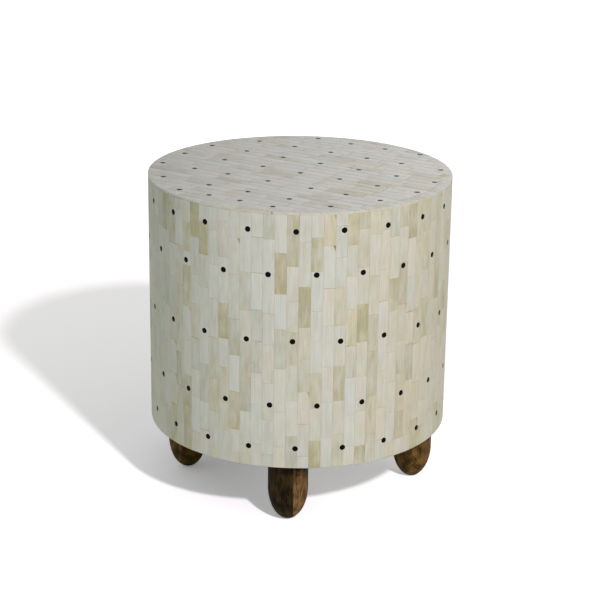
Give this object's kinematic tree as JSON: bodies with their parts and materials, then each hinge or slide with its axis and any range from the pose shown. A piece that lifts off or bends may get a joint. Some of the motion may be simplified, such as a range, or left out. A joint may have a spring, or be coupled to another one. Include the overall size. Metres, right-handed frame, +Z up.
{
  "type": "stool",
  "caption": "Round drum stool or side table, its top and side faced with pale bone strips and black dots, on bullet-shaped turned wooden feet.",
  "frame": {"origin": "on the floor, under the axis of the drum", "axes": "+Z up; -Y is the front, towards the picture's viewer; +X to the viewer's right"},
  "size_m": [0.43, 0.43, 0.458],
  "materials": {
    "bone": "polished bone strips, satin",
    "black_resin": "sanded flush, satin",
    "board": "raw fibreboard",
    "plywood": "raw plywood",
    "painted_board": "dark matt paint",
    "stained_wood": "dark brown stain, waxed",
    "steel": "zinc plated"
  },
  "bodies": {
    "root": {"top_inlay": "bone", "top_resin": "black_resin", "top_panel": "board", "side_inlay": "bone", "side_resin": "black_resin", "shell_left": "plywood", "shell_right": "plywood", "middle_ring": "board", "batten_1": "plywood", "batten_2": "plywood", "batten_3": "plywood", "batten_4": "plywood", "batten_5": "plywood", "batten_6": "plywood", "batten_7": "plywood", "batten_8": "plywood", "base_panel": "painted_board", "base_screw_1": "steel", "top_screw_1": "steel", "base_screw_2": "steel", "top_screw_2": "steel", "base_screw_3": "steel", "top_screw_3": "steel", "base_screw_4": "steel", "top_screw_4": "steel", "base_screw_5": "steel", "top_screw_5": "steel", "base_screw_6": "steel", "top_screw_6": "steel", "base_screw_7": "steel", "top_screw_7": "steel", "base_screw_8": "steel", "top_screw_8": "steel", "foot_front": "stained_wood", "foot_block_front": "plywood", "tee_nut_front": "steel", "hanger_bolt_front": "steel", "foot_right": "stained_wood", "foot_block_right": "plywood", "tee_nut_right": "steel", "hanger_bolt_right": "steel", "foot_back": "stained_wood", "foot_block_back": "plywood", "tee_nut_back": "steel", "hanger_bolt_back": "steel", "foot_left": "stained_wood", "foot_block_left": "plywood", "tee_nut_left": "steel", "hanger_bolt_left": "steel"}
  },
  "joints": []
}
